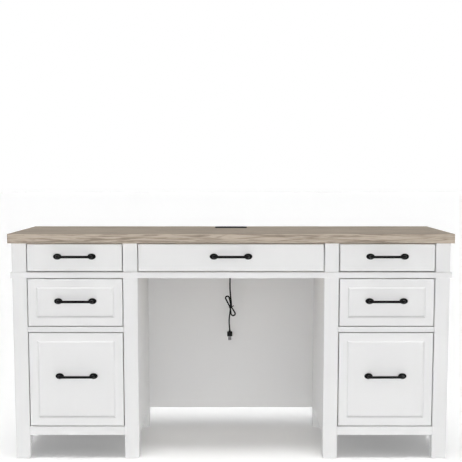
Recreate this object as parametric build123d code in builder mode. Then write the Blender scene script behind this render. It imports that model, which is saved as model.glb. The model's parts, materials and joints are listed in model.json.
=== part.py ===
from build123d import *
import os
from math import cos, pi, radians, sin, tan
from typing import NamedTuple

# Double-pedestal desk, millimetres. +X is to the right of someone facing the drawers, the drawers face -Y,
# +Z is up. The floor is Z = 0 and the origin is at the bottom centre of the desk with its pulls.

# ---------------------------------------------------------------- driving dimensions
# worktop
TOP_LENGTH = 1524.0
TOP_DEPTH = 610.0
TOP_THICKNESS = 32.0
TOP_SIDE_OVERHANG = 12.0
TOP_FRONT_OVERHANG = 12.0
TOP_REAR_OVERHANG = 12.0
TOP_EASED_EDGE = 1.5

# pedestals, across
LEG_SECTION = 50.0
LEG_EASED_EDGE = 1.5
PEDESTAL_WIDTH = 430.0

# heights, from the floor up
GLIDE_PROUD = 2.0
FOOT_HEIGHT = 84.0
BOTTOM_RAIL_HEIGHT = 30.0
FILE_OPENING = 332.0
MIDDLE_RAIL_HEIGHT = 18.0
MIDDLE_OPENING = 168.0
WAIST_HEIGHT = 20.0
TOP_OPENING = 99.0

# rails and waist band
RAIL_DEPTH = 40.0
BOTTOM_RAIL_DEPTH = 22.0
BAND_FRONT_PROUD = 3.0
BAND_SIDE_PROUD = 6.0
BAND_EASED_EDGE = 1.0

# panels
SIDE_PANEL = 16.0
OUTER_PANEL_RECESS = 5.0
BACK_PANEL = 9.0
BACK_PANEL_INSET = 14.0
PEDESTAL_FLOOR = 9.0
MODESTY_PANEL = 16.0
MODESTY_INSET = 22.0
MODESTY_DROP = 6.5

# drawer fronts
FRONT_THICKNESS = 19.0
FRONT_GAP = 3.0
FRONT_EASED_EDGE = 1.2
FRAME_WIDTH = 28.0
FIELD_BEVEL = 6.0
FIELD_RECESS = 5.0

# drawer boxes
BOX_BOARD = 12.0
BOX_BOTTOM = 6.0
BOX_BOTTOM_LIFT = 10.0
GROOVE_DEPTH = 6.0
GROOVE_FIT = 0.3
BOX_LIFT = 12.0
TOP_HEADROOM = 17.0
MIDDLE_HEADROOM = 26.0
FILE_HEADROOM = 60.0
BOX_REAR_CLEARANCE = 41.0
HUB_CLEARANCE = 30.0

# slides: a steel channel on the case, one on the drawer, and on the file drawers one between
SLIDE_WIDTH = 12.7
SLIDE_HEIGHT = 45.0
SLIDE_GAUGE = 1.2
SLIDE_REACH = 10.0
BALL_ROOM = 1.5
NESTED_BALL_ROOM = 1.2
SLIDE_SETBACK = 3.0
PACKER_HEIGHT = 60.0
SHORT_STROKE_SHARE = 0.70
FULL_STROKE_SHARE = 0.96

# pulls
PULL_CENTRES = 117.0
PULL_STANDOFF = 28.0
PULL_BAR = 9.0
PULL_BEND = 9.0
PULL_FOOT = 15.0
PULL_FOOT_RISE = 7.0
ROSETTE_LENGTH = 29.0
ROSETTE_HEIGHT = 20.5
ROSETTE_THICKNESS = 4.0
ROSETTE_ROUND = 2.5
PULL_RAISE = 4.0
FILE_PULL_RAISE = 11.0
SCREW = 4.0
SCREW_CLEARANCE = 0.25
SCREW_HEAD = 8.0
SCREW_HEAD_HEIGHT = 2.4
SCREW_HEAD_EASE = 0.8
SCREW_ENGAGEMENT = 9.0

# glides
GLIDE_DIAMETER = 24.0
GLIDE_THICKNESS = 5.0
GLIDE_PIN = 5.0
GLIDE_PIN_LENGTH = 16.0
GLIDE_FIT = 0.5

# connection hub
HUB_LENGTH = 120.0
HUB_DEPTH = 83.0
HUB_REAR_MARGIN = 70.0
HUB_FLANGE = 3.0
HUB_FLANGE_EASE = 1.0
HUB_CORNER = 8.0
HUB_LIP = 6.0
HUB_WALL = 4.0
HUB_LEDGE = 3.0
HUB_FLOOR = 3.0
HUB_BELOW_TOP = 20.0
HUB_CUTOUT_FIT = 1.0
PLATE_THICKNESS = 16.0
PLATE_SUNK = 0.8
PLATE_FIT = 0.3
PORT_COUNT = 4
PORT_PITCH = 21.0
PORT_WIDTH = 12.4
PORT_HEIGHT = 5.0
PORT_DEPTH = 11.0
TONGUE_WIDTH = 10.8
TONGUE_THICKNESS = 1.9
GLAND_COLLAR = 13.0
GLAND_COLLAR_HEIGHT = 3.0
GLAND_TOP = 10.0
GLAND_TIP = 7.4
GLAND_LENGTH = 20.0

# lead and what is on it
LEAD_DIAMETER = 5.5
LEAD_ARC_SHARE = 0.45
HANK_TILT = 20.0
HANK_CROSSING = (-1.0, 0.0, -232.0)
HANK_UPPER_REACH = 37.0
HANK_UPPER_RADIUS = 9.8
HANK_LOWER_REACH = 26.0
HANK_LOWER_RADIUS = 10.7
HANK_WAIST_RADIUS = 6.5
HANK_THICKNESS = 16.5
TIE_WALL = 1.2
TIE_HEIGHT = 3.2
CONNECTOR_WIDTH = 20.0
CONNECTOR_THICKNESS = 9.0
CONNECTOR_LENGTH = 19.0
CONNECTOR_SHOULDER = 3.5
CONNECTOR_ROUND = 1.5
BOOT_DIAMETER = 9.0
BOOT_TIP = 7.0
BOOT_LENGTH = 6.0
SHELL_WIDTH = 12.0
SHELL_THICKNESS = 4.5
SHELL_LENGTH = 15.0
SHELL_WALL = 0.5
SHELL_BLADE = 1.8

# The lead's route, from the hub's strain relief, which is the zero of all three numbers.
LEAD_UPPER_ROUTE = [
    (0.0, 0.0, 0.0),
    (0.0, 0.0, -24.0),
    (-0.9, 0.8, -62.0),
    (-3.2, 1.4, -108.0),
    (-4.4, 0.9, -150.0),
    (-2.6, 0.2, -184.0),
    (0.6, 0.0, -209.0),
    (0.4, 0.0, -224.0),
]
LEAD_LOWER_ROUTE = [
    (-2.6, 0.0, -241.0),
    (-4.4, -0.6, -258.0),
    (-7.4, -1.0, -280.0),
    (-6.6, -0.6, -300.0),
    (-4.8, 0.0, -319.0),
]

# ---------------------------------------------------------------- levels and planes
z_rail_top = FOOT_HEIGHT + BOTTOM_RAIL_HEIGHT
z_file_top = z_rail_top + FILE_OPENING
z_middle_low = z_file_top + MIDDLE_RAIL_HEIGHT
z_waist_low = z_middle_low + MIDDLE_OPENING
z_waist_top = z_waist_low + WAIST_HEIGHT
z_under_top = z_waist_top + TOP_OPENING
z_top = z_under_top + TOP_THICKNESS

pull_reach = PULL_STANDOFF + PULL_BAR / 2 - TOP_FRONT_OVERHANG
y_top_rear = (TOP_DEPTH + pull_reach) / 2
y_top_front = y_top_rear - TOP_DEPTH
y_front = y_top_front + TOP_FRONT_OVERHANG
y_rear = y_top_rear - TOP_REAR_OVERHANG
y_front_leg_back = y_front + LEG_SECTION
y_rear_leg_front = y_rear - LEG_SECTION
y_front_back = y_front + FRONT_THICKNESS

x_outer = TOP_LENGTH / 2 - TOP_SIDE_OVERHANG
x_outer_opening = x_outer - LEG_SECTION
x_kneehole = x_outer - PEDESTAL_WIDTH
x_inner_opening = x_kneehole + LEG_SECTION
x_outer_panel = x_outer - OUTER_PANEL_RECESS

y_back_panel = y_rear - BACK_PANEL_INSET - BACK_PANEL
y_hub = y_top_rear - HUB_REAR_MARGIN - HUB_DEPTH / 2
hub_body_length = HUB_LENGTH - 2 * HUB_LIP
hub_body_depth = HUB_DEPTH - 2 * HUB_LIP
z_hub_low = z_under_top - HUB_BELOW_TOP
z_lead_exit = z_hub_low - GLAND_LENGTH

y_box_rear = y_back_panel - BOX_REAR_CLEARANCE
y_centre_box_rear = y_hub - hub_body_depth / 2 - HUB_CLEARANCE


class Drawer(NamedTuple):
    """One drawer: its opening, how far its box goes back, and what its front looks like."""
    name: str
    left: float
    right: float
    low: float
    high: float
    headroom: float
    box_rear: float
    pull_raise: float
    field: bool
    full_travel: bool

    @property
    def x_mid(self):
        return (self.left + self.right) / 2

    @property
    def pull_z(self):
        return (self.low + self.high) / 2 + self.pull_raise

    @property
    def pull_seat(self):
        return y_front + (FIELD_RECESS if self.field else 0)

    @property
    def box_low(self):
        return self.low + BOX_LIFT

    @property
    def box_high(self):
        return self.high - self.headroom

    @property
    def slide_z(self):
        return (self.box_low + self.box_high) / 2


def pedestal_drawers(side, left, right):
    """The three drawers of one pedestal, from the top down."""
    return [
        Drawer(side + "_top", left, right, z_waist_top, z_under_top, TOP_HEADROOM, y_box_rear,
               PULL_RAISE, False, False),
        Drawer(side + "_middle", left, right, z_middle_low, z_waist_low, MIDDLE_HEADROOM, y_box_rear,
               PULL_RAISE, True, False),
        Drawer(side + "_file", left, right, z_rail_top, z_file_top, FILE_HEADROOM, y_box_rear,
               FILE_PULL_RAISE, True, True),
    ]


left_drawers = pedestal_drawers("left", -x_outer_opening, -x_inner_opening)
right_drawers = pedestal_drawers("right", x_inner_opening, x_outer_opening)
centre_drawer = Drawer("centre", -x_kneehole, x_kneehole, z_waist_top, z_under_top, TOP_HEADROOM,
                       y_centre_box_rear, PULL_RAISE, False, False)
drawers = left_drawers + [centre_drawer] + right_drawers

os.makedirs("parts", exist_ok=True)


# ---------------------------------------------------------------- helpers
def save(piece, name):
    """Label a finished piece and write it as one node."""
    piece.label = name
    export_step(piece, "parts/" + name + ".step")


def save_group(solids, name):
    """Write several separate solids as one node."""
    save(Compound([solid for piece in solids for solid in piece.solids()]), name)


def block(x_low, x_high, y_low, y_high, z_low, z_high, mode=Mode.ADD):
    """A square-edged block between six planes, in the part being built."""
    with BuildSketch(Plane.XY.offset(z_low)) as outline:
        with Locations(((x_low + x_high) / 2, (y_low + y_high) / 2)):
            Rectangle(x_high - x_low, y_high - y_low)
    extrude(outline.sketch, amount=z_high - z_low, mode=mode)


def board(x_low, x_high, y_low, y_high, z_low, z_high):
    """A plain board as a part of its own."""
    with BuildPart() as piece:
        block(x_low, x_high, y_low, y_high, z_low, z_high)
    return piece.part


def mirrored(pieces):
    """The same pieces on the other side of the desk's middle."""
    return [mirror(piece, about=Plane.YZ) for piece in pieces]


def face_plane(y):
    """A vertical drawing plane at this depth that faces the front, with its own X and Y along X and Z."""
    return Plane.XZ.offset(-y)


# ---------------------------------------------------------------- worktop
with BuildPart() as worktop:
    block(-TOP_LENGTH / 2, TOP_LENGTH / 2, y_top_front, y_top_rear, z_under_top, z_top)
    outline = worktop.edges().filter_by(Axis.Z) + worktop.faces().sort_by(Axis.Z)[-1].edges()
    chamfer(outline + worktop.faces().sort_by(Axis.Z)[0].edges(), TOP_EASED_EDGE)
    with BuildSketch(Plane.XY.offset(z_under_top)):
        with Locations((0, y_hub)):
            Rectangle(hub_body_length + 2 * HUB_CUTOUT_FIT, hub_body_depth + 2 * HUB_CUTOUT_FIT)
    extrude(amount=TOP_THICKNESS, mode=Mode.SUBTRACT)
save(worktop.part, "worktop")


# ---------------------------------------------------------------- legs and glides
def leg(x_low, y_low):
    """A square leg with eased upright edges and a seat for its glide."""
    with BuildPart() as piece:
        block(x_low, x_low + LEG_SECTION, y_low, y_low + LEG_SECTION, GLIDE_PROUD, z_under_top)
        chamfer(piece.edges().filter_by(Axis.Z), LEG_EASED_EDGE)
        with Locations(Plane((x_low + LEG_SECTION / 2, y_low + LEG_SECTION / 2, GLIDE_PROUD),
                             x_dir=(1, 0, 0), z_dir=(0, 0, -1))):
            CounterBoreHole(GLIDE_PIN / 2, GLIDE_DIAMETER / 2 + GLIDE_FIT,
                            GLIDE_THICKNESS - GLIDE_PROUD, GLIDE_THICKNESS + GLIDE_PIN_LENGTH)
    return piece.part


def glide(x_low, y_low):
    """A round glide with a driven pin, standing a little proud of the leg's foot."""
    with BuildPart() as piece:
        with BuildSketch(Plane.XY):
            with Locations((x_low + LEG_SECTION / 2, y_low + LEG_SECTION / 2)):
                Circle(GLIDE_DIAMETER / 2)
        extrude(amount=GLIDE_THICKNESS)
        chamfer(piece.faces().sort_by(Axis.Z)[0].edges(), GLIDE_PROUD / 2)
        with BuildSketch(Plane.XY.offset(GLIDE_THICKNESS)):
            with Locations((x_low + LEG_SECTION / 2, y_low + LEG_SECTION / 2)):
                Circle(GLIDE_PIN / 2)
        extrude(amount=GLIDE_PIN_LENGTH)
    return piece.part


leg_columns = {
    "left_outer": -x_outer,
    "left_inner": -x_inner_opening,
    "right_inner": x_kneehole,
    "right_outer": x_outer_opening,
}
glides = []
for column, x_leg in leg_columns.items():
    for row, y_leg in (("front", y_front), ("rear", y_rear_leg_front)):
        save(leg(x_leg, y_leg), column + "_" + row + "_leg")
        glides.append(glide(x_leg, y_leg))
save_group(glides, "leg_glides")

# ---------------------------------------------------------------- side, back, floor and modesty panels
outer_side = board(x_outer_panel - SIDE_PANEL, x_outer_panel, y_front_leg_back, y_rear_leg_front,
                   FOOT_HEIGHT, z_under_top)
inner_side = board(x_kneehole, x_kneehole + SIDE_PANEL, y_front_leg_back, y_rear_leg_front,
                   FOOT_HEIGHT, z_under_top)
back = board(x_inner_opening, x_outer_opening, y_back_panel, y_back_panel + BACK_PANEL,
             FOOT_HEIGHT, z_under_top)
for side_name, (outer_panel, inner_panel) in {
    "right": (outer_side, inner_side),
    "left": mirrored([outer_side, inner_side]),
}.items():
    save(outer_panel, side_name + "_outer_side_panel")
    save(inner_panel, side_name + "_kneehole_panel")
save_group([back] + mirrored([back]), "back_panels")

# a floor closes each pedestal between its panels and is notched round the legs
z_floor_top = FOOT_HEIGHT + PEDESTAL_FLOOR
with BuildPart() as pedestal_floor:
    block(x_inner_opening, x_outer_opening, y_front + BOTTOM_RAIL_DEPTH, y_back_panel,
          FOOT_HEIGHT, z_floor_top)
    block(x_kneehole + SIDE_PANEL, x_outer_panel - SIDE_PANEL, y_front_leg_back, y_rear_leg_front,
          FOOT_HEIGHT, z_floor_top)
save_group([pedestal_floor.part] + mirrored([pedestal_floor.part]), "pedestal_floors")

y_modesty_rear = y_rear - MODESTY_INSET
save(board(-x_kneehole, x_kneehole, y_modesty_rear - MODESTY_PANEL, y_modesty_rear,
           FOOT_HEIGHT - MODESTY_DROP, z_under_top), "modesty_panel")

# ---------------------------------------------------------------- front rails
right_rails = [
    board(x_inner_opening, x_outer_opening, y_front, y_front + BOTTOM_RAIL_DEPTH, FOOT_HEIGHT, z_rail_top),
    board(x_inner_opening, x_outer_opening, y_front, y_front + RAIL_DEPTH, z_file_top, z_middle_low),
    board(x_inner_opening, x_outer_opening, y_front, y_front + RAIL_DEPTH, z_waist_low, z_waist_top),
]
centre_rail = board(-x_kneehole, x_kneehole, y_front, y_front + RAIL_DEPTH, z_waist_low, z_waist_top)
save_group(right_rails + mirrored(right_rails) + [centre_rail], "front_rails")

# ---------------------------------------------------------------- waist band
with BuildPart() as front_band:
    block(-x_outer - BAND_SIDE_PROUD, x_outer + BAND_SIDE_PROUD, y_front - BAND_FRONT_PROUD, y_front,
          z_waist_low, z_waist_top)
    chamfer(front_band.faces().sort_by(Axis.Y)[0].edges(), BAND_EASED_EDGE)
with BuildPart() as side_band:
    block(x_outer, x_outer + BAND_SIDE_PROUD, y_front, y_rear, z_waist_low, z_waist_top)
    chamfer(side_band.faces().sort_by(Axis.X)[-1].edges().filter_by(Axis.Y), BAND_EASED_EDGE)
    block(x_outer_panel, x_outer, y_front_leg_back, y_rear_leg_front, z_waist_low, z_waist_top)
save_group([front_band.part, side_band.part] + mirrored([side_band.part]), "waist_band")

# ---------------------------------------------------------------- packers behind the slides
packers = []
for drawer in right_drawers:
    z_packer = drawer.slide_z - PACKER_HEIGHT / 2
    packers.append(board(x_kneehole + SIDE_PANEL, x_inner_opening, y_front_leg_back,
                         y_rear_leg_front, z_packer, z_packer + PACKER_HEIGHT))
    packers.append(board(x_outer_opening, x_outer_panel - SIDE_PANEL, y_front_leg_back,
                         y_rear_leg_front, z_packer, z_packer + PACKER_HEIGHT))
save_group(packers + mirrored(packers), "slide_packers")


# ---------------------------------------------------------------- slides
def channel(drawer, right_side, web_gap, reach_gap, height, web_at_drawer):
    """A slide member: a channel along Y whose web and flange tips stand these distances off the case."""
    wall = drawer.right if right_side else drawer.left
    inward = -1 if right_side else 1
    y_low = y_front_back + SLIDE_SETBACK
    z_low = drawer.slide_z - height / 2
    z_high = drawer.slide_z + height / 2
    web = sorted((wall + inward * web_gap, wall + inward * (web_gap + SLIDE_GAUGE)))
    tip = wall + inward * (reach_gap + (0 if web_at_drawer else SLIDE_GAUGE))
    root = wall + inward * (web_gap + (SLIDE_GAUGE if web_at_drawer else 0))
    flange = sorted((tip, root))
    with BuildPart() as piece:
        block(web[0], web[1], y_low, drawer.box_rear, z_low, z_high)
        block(flange[0], flange[1], y_low, drawer.box_rear, z_low, z_low + SLIDE_GAUGE)
        block(flange[0], flange[1], y_low, drawer.box_rear, z_high - SLIDE_GAUGE, z_high)
    return piece.part


def outer_member(drawer, right_side):
    """The channel screwed to the case."""
    return channel(drawer, right_side, 0.0, SLIDE_REACH - SLIDE_GAUGE, SLIDE_HEIGHT, False)


def middle_member(drawer, right_side):
    """The channel that runs between the other two on a full-travel slide."""
    height = SLIDE_HEIGHT - 2 * (SLIDE_GAUGE + NESTED_BALL_ROOM)
    return channel(drawer, right_side, SLIDE_GAUGE + NESTED_BALL_ROOM, SLIDE_REACH - SLIDE_GAUGE,
                   height, False)


def inner_member(drawer, right_side):
    """The channel screwed to the drawer's side, its flanges turned back towards the case."""
    if drawer.full_travel:
        height = SLIDE_HEIGHT - 4 * (SLIDE_GAUGE + NESTED_BALL_ROOM)
        tip_gap = 2 * (SLIDE_GAUGE + NESTED_BALL_ROOM)
    else:
        height = SLIDE_HEIGHT - 2 * (SLIDE_GAUGE + BALL_ROOM)
        tip_gap = SLIDE_GAUGE + BALL_ROOM
    return channel(drawer, right_side, SLIDE_WIDTH - SLIDE_GAUGE, tip_gap, height, True)


save_group([outer_member(drawer, side) for drawer in drawers for side in (False, True)],
           "slide_outer_members")
for drawer in drawers:
    save_group([inner_member(drawer, side) for side in (False, True)], drawer.name + "_drawer_runners")
    if drawer.full_travel:
        save_group([middle_member(drawer, side) for side in (False, True)],
                   drawer.name + "_slide_middle_members")


# ---------------------------------------------------------------- drawer fronts
def pull_holes(drawer, y_low, y_high):
    """Cut the two screw holes of the pull through the part being built."""
    with BuildSketch(face_plane(y_low)) as holes:
        with Locations((drawer.x_mid, drawer.pull_z)):
            with GridLocations(PULL_CENTRES, 0, 2, 1):
                Circle(SCREW / 2 + SCREW_CLEARANCE)
    extrude(holes.sketch, amount=y_low - y_high, mode=Mode.SUBTRACT)


def drawer_front(drawer):
    """An inset front: a plain slab, or a slab with a recessed field and a bevelled inner edge."""
    width = drawer.right - drawer.left - 2 * FRONT_GAP
    height = drawer.high - drawer.low - 2 * FRONT_GAP
    centre = (drawer.x_mid, (drawer.low + drawer.high) / 2)
    field_margin = FRAME_WIDTH + FIELD_BEVEL
    with BuildPart() as front:
        with BuildSketch(face_plane(y_front)):
            with Locations(centre):
                Rectangle(width, height)
        extrude(amount=-FRONT_THICKNESS)
        chamfer(front.faces().sort_by(Axis.Y)[0].edges(), FRONT_EASED_EDGE)
        if drawer.field:
            with BuildSketch(face_plane(y_front)):
                with Locations(centre):
                    Rectangle(width - 2 * FRAME_WIDTH, height - 2 * FRAME_WIDTH)
            with BuildSketch(face_plane(y_front + FIELD_RECESS)):
                with Locations(centre):
                    Rectangle(width - 2 * field_margin, height - 2 * field_margin)
            loft(mode=Mode.SUBTRACT)
        pull_holes(drawer, y_front, y_front_back)
    return front.part


# ---------------------------------------------------------------- drawer boxes
def drawer_box(drawer):
    """Two grooved sides with a sub-front and a back between them, and a bottom held in the grooves."""
    left = drawer.left + SLIDE_WIDTH
    right = drawer.right - SLIDE_WIDTH
    y_low = y_front_back
    y_high = drawer.box_rear
    z_low = drawer.box_low
    z_high = drawer.box_high
    z_groove = z_low + BOX_BOTTOM_LIFT
    groove = [left + BOX_BOARD - GROOVE_DEPTH, right - BOX_BOARD + GROOVE_DEPTH,
              y_low + BOX_BOARD - GROOVE_DEPTH, y_high - BOX_BOARD + GROOVE_DEPTH]
    walls = []
    for x_low, x_high, near, far in (
        (left, left + BOX_BOARD, y_low, y_high),
        (right - BOX_BOARD, right, y_low, y_high),
        (left + BOX_BOARD, right - BOX_BOARD, y_low, y_low + BOX_BOARD),
        (left + BOX_BOARD, right - BOX_BOARD, y_high - BOX_BOARD, y_high),
    ):
        with BuildPart() as wall:
            block(x_low, x_high, near, far, z_low, z_high)
            block(*groove, z_groove, z_groove + BOX_BOTTOM, mode=Mode.SUBTRACT)
            if near == y_low and x_low > left and x_high < right:
                pull_holes(drawer, y_low, y_low + BOX_BOARD)
        walls.append(wall.part)
    bottom = board(groove[0] + GROOVE_FIT, groove[1] - GROOVE_FIT, groove[2] + GROOVE_FIT,
                   groove[3] - GROOVE_FIT, z_groove, z_groove + BOX_BOTTOM)
    return walls + [bottom]


# ---------------------------------------------------------------- pulls
def rosette(drawer, x):
    """The oval plate under one end of a pull, with a rounded rim."""
    with BuildPart() as plate:
        with BuildSketch(face_plane(drawer.pull_seat)):
            with Locations((x, drawer.pull_z)):
                Ellipse(ROSETTE_LENGTH / 2, ROSETTE_HEIGHT / 2)
                Circle(SCREW / 2 + SCREW_CLEARANCE, mode=Mode.SUBTRACT)
        extrude(amount=ROSETTE_THICKNESS)
        rim = plate.faces().sort_by(Axis.Y)[0].edges().sort_by(SortBy.LENGTH)[-1]
        fillet(rim, ROSETTE_ROUND)
    return plate.part


def pull_handle(drawer):
    """A round bar bent back at both ends onto flared feet, drilled for its screws."""
    half = PULL_CENTRES / 2
    y_foot = drawer.pull_seat - ROSETTE_THICKNESS
    y_bar = drawer.pull_seat - PULL_STANDOFF
    z = drawer.pull_z
    with BuildPart() as handle:
        with BuildLine() as route:
            FilletPolyline((drawer.x_mid - half, y_foot, z), (drawer.x_mid - half, y_bar, z),
                           (drawer.x_mid + half, y_bar, z), (drawer.x_mid + half, y_foot, z),
                           radius=PULL_BEND)
        with BuildSketch(Plane(origin=route.line @ 0, z_dir=route.line % 0)):
            Circle(PULL_BAR / 2)
        sweep()
        for x in (drawer.x_mid - half, drawer.x_mid + half):
            with BuildSketch(face_plane(y_foot)):
                with Locations((x, z)):
                    Circle(PULL_FOOT / 2)
            with BuildSketch(face_plane(y_foot - PULL_FOOT_RISE)):
                with Locations((x, z)):
                    Circle(PULL_BAR / 2)
            loft()
            with BuildSketch(face_plane(y_foot)):
                with Locations((x, z)):
                    Circle(SCREW / 2)
            extrude(amount=SCREW_ENGAGEMENT, mode=Mode.SUBTRACT)
    return handle.part


def pull_screw(drawer, x):
    """A screw from inside the drawer, through sub-front, front and rosette, into the pull's foot."""
    y_head = y_front_back + BOX_BOARD
    shank = y_head - drawer.pull_seat + ROSETTE_THICKNESS + SCREW_ENGAGEMENT
    with BuildPart() as screw:
        with BuildSketch(face_plane(y_head)):
            with Locations((x, drawer.pull_z)):
                Circle(SCREW / 2)
        extrude(amount=shank)
        with BuildSketch(face_plane(y_head)):
            with Locations((x, drawer.pull_z)):
                Circle(SCREW_HEAD / 2)
        extrude(amount=-SCREW_HEAD_HEIGHT)
        chamfer(screw.faces().sort_by(Axis.Y)[-1].edges(), SCREW_HEAD_EASE)
    return screw.part


for drawer in drawers:
    save(drawer_front(drawer), drawer.name + "_drawer_front")
    save_group(drawer_box(drawer), drawer.name + "_drawer_box")
    pull_pieces = [pull_handle(drawer)]
    for x_post in (drawer.x_mid - PULL_CENTRES / 2, drawer.x_mid + PULL_CENTRES / 2):
        pull_pieces += [rosette(drawer, x_post), pull_screw(drawer, x_post)]
    save_group(pull_pieces, drawer.name + "_drawer_pull")

# ---------------------------------------------------------------- connection hub
z_plate_top = z_top + HUB_FLANGE - PLATE_SUNK
z_plate_low = z_plate_top - PLATE_THICKNESS
well_length = hub_body_length - 2 * HUB_WALL
well_depth = hub_body_depth - 2 * HUB_WALL

with BuildPart() as hub_body:
    with BuildSketch(Plane.XY.offset(z_top)):
        with Locations((0, y_hub)):
            RectangleRounded(HUB_LENGTH, HUB_DEPTH, HUB_CORNER)
    extrude(amount=HUB_FLANGE)
    chamfer(hub_body.faces().sort_by(Axis.Z)[-1].edges(), HUB_FLANGE_EASE)
    with BuildSketch(Plane.XY.offset(z_hub_low)):
        with Locations((0, y_hub)):
            Rectangle(hub_body_length, hub_body_depth)
    extrude(amount=z_top - z_hub_low)
    with BuildSketch(Plane.XY.offset(z_plate_low)):
        with Locations((0, y_hub)):
            Rectangle(well_length, well_depth)
    extrude(amount=PLATE_THICKNESS + PLATE_SUNK, mode=Mode.SUBTRACT)
    with BuildSketch(Plane.XY.offset(z_hub_low + HUB_FLOOR)):
        with Locations((0, y_hub)):
            Rectangle(well_length - 2 * HUB_LEDGE, well_depth - 2 * HUB_LEDGE)
    extrude(amount=z_plate_low - z_hub_low - HUB_FLOOR, mode=Mode.SUBTRACT)
save(hub_body.part, "hub_body")

with BuildPart() as port_plate:
    with BuildSketch(Plane.XY.offset(z_plate_low)):
        with Locations((0, y_hub)):
            Rectangle(well_length - 2 * PLATE_FIT, well_depth - 2 * PLATE_FIT)
    extrude(amount=PLATE_THICKNESS)
    with BuildSketch(Plane.XY.offset(z_plate_top)):
        with Locations((0, y_hub)):
            with GridLocations(PORT_PITCH, 0, PORT_COUNT, 1):
                Rectangle(PORT_WIDTH, PORT_HEIGHT)
                Rectangle(TONGUE_WIDTH, TONGUE_THICKNESS, mode=Mode.SUBTRACT)
    extrude(amount=-PORT_DEPTH, mode=Mode.SUBTRACT)
save(port_plate.part, "hub_port_plate")

with BuildPart() as strain_relief:
    with BuildSketch(Plane.XY.offset(z_hub_low)):
        with Locations((0, y_hub)):
            Circle(GLAND_COLLAR / 2)
    extrude(amount=-GLAND_COLLAR_HEIGHT)
    with BuildSketch(Plane.XY.offset(z_hub_low - GLAND_COLLAR_HEIGHT)):
        with Locations((0, y_hub)):
            Circle(GLAND_TOP / 2)
    with BuildSketch(Plane.XY.offset(z_lead_exit)):
        with Locations((0, y_hub)):
            Circle(GLAND_TIP / 2)
    loft()
save(strain_relief.part, "hub_strain_relief")


# ---------------------------------------------------------------- lead
def from_exit(point):
    """A point of the lead's route in the desk's frame."""
    return Vector(point[0], y_hub + point[1], z_lead_exit + point[2])


def lead_tube(route_points, name):
    """Straight runs joined by arcs as large as the runs allow; prints the arcs and the volume check."""
    points = [from_exit(point) for point in route_points]
    radii = []
    for before, here, after in zip(points, points[1:], points[2:]):
        turn = (here - before).get_angle(after - here)
        shorter = min((here - before).length, (after - here).length)
        radii.append(LEAD_ARC_SHARE * shorter / tan(radians(turn / 2)))
    with BuildPart() as tube:
        with BuildLine() as route:
            FilletPolyline(*points, radius=radii)
        with BuildSketch(Plane(origin=route.line @ 0, z_dir=route.line % 0)):
            Circle(LEAD_DIAMETER / 2)
        sweep()
    length = sum(edge.length for edge in route.line.edges())
    expected = length * pi * LEAD_DIAMETER ** 2 / 4
    print(name, "length", round(length, 1), "radii", [round(radius) for radius in radii],
          "volume ratio", round(tube.part.volume / expected, 4))
    return tube.part


save(lead_tube(LEAD_UPPER_ROUTE, "lead_upper"), "lead_upper")
save(lead_tube(LEAD_LOWER_ROUTE, "lead_lower"), "lead_lower")

# The hank is a tied figure of eight: two lobes on one tilted line through the crossing.
tilt = radians(HANK_TILT)
crossing = from_exit(HANK_CROSSING)
hank_plane = Plane(origin=crossing, x_dir=(cos(tilt), 0, sin(tilt)), z_dir=(0, -1, 0))
with BuildPart() as hank:
    for reach, radius in ((HANK_UPPER_REACH, HANK_UPPER_RADIUS), (-HANK_LOWER_REACH, HANK_LOWER_RADIUS)):
        with BuildSketch(hank_plane.offset(-HANK_THICKNESS / 2)):
            Circle(HANK_WAIST_RADIUS)
            with Locations((0, reach)):
                Circle(radius)
            make_hull()
        extrude(amount=HANK_THICKNESS)
save(hank.part, "lead_hank")

tie_plane = Plane(origin=crossing, x_dir=(cos(tilt), 0, sin(tilt)), z_dir=(-sin(tilt), 0, cos(tilt)))
with BuildPart() as tie:
    with BuildSketch(tie_plane.offset(-TIE_HEIGHT / 2)):
        RectangleRounded(2 * (HANK_WAIST_RADIUS + TIE_WALL), HANK_THICKNESS + 2 * TIE_WALL, 2 * TIE_WALL)
        Rectangle(2 * HANK_WAIST_RADIUS, HANK_THICKNESS, mode=Mode.SUBTRACT)
    extrude(amount=TIE_HEIGHT)
save(tie.part, "lead_tie")

# ---------------------------------------------------------------- connector
lead_end = from_exit(LEAD_LOWER_ROUTE[-1])
z_body_top = lead_end.Z - BOOT_LENGTH
z_body_low = z_body_top - CONNECTOR_LENGTH
with BuildPart() as connector_body:
    with BuildSketch(face_plane(lead_end.Y)):
        with Locations((lead_end.X, z_body_top - CONNECTOR_LENGTH / 2)):
            side_view = Rectangle(CONNECTOR_WIDTH, CONNECTOR_LENGTH)
        chamfer(side_view.vertices().group_by(Axis.Y)[-1], CONNECTOR_SHOULDER)
    extrude(amount=CONNECTOR_THICKNESS / 2, both=True)
    broad_faces = connector_body.faces().sort_by(Axis.Y)
    chamfer(broad_faces[0].edges() + broad_faces[-1].edges(), CONNECTOR_ROUND)
    with BuildSketch(Plane.XY.offset(z_body_top)):
        with Locations((lead_end.X, lead_end.Y)):
            Circle(BOOT_DIAMETER / 2)
    with BuildSketch(Plane.XY.offset(lead_end.Z)):
        with Locations((lead_end.X, lead_end.Y)):
            Circle(BOOT_TIP / 2)
    loft()
save(connector_body.part, "connector_body")

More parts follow.
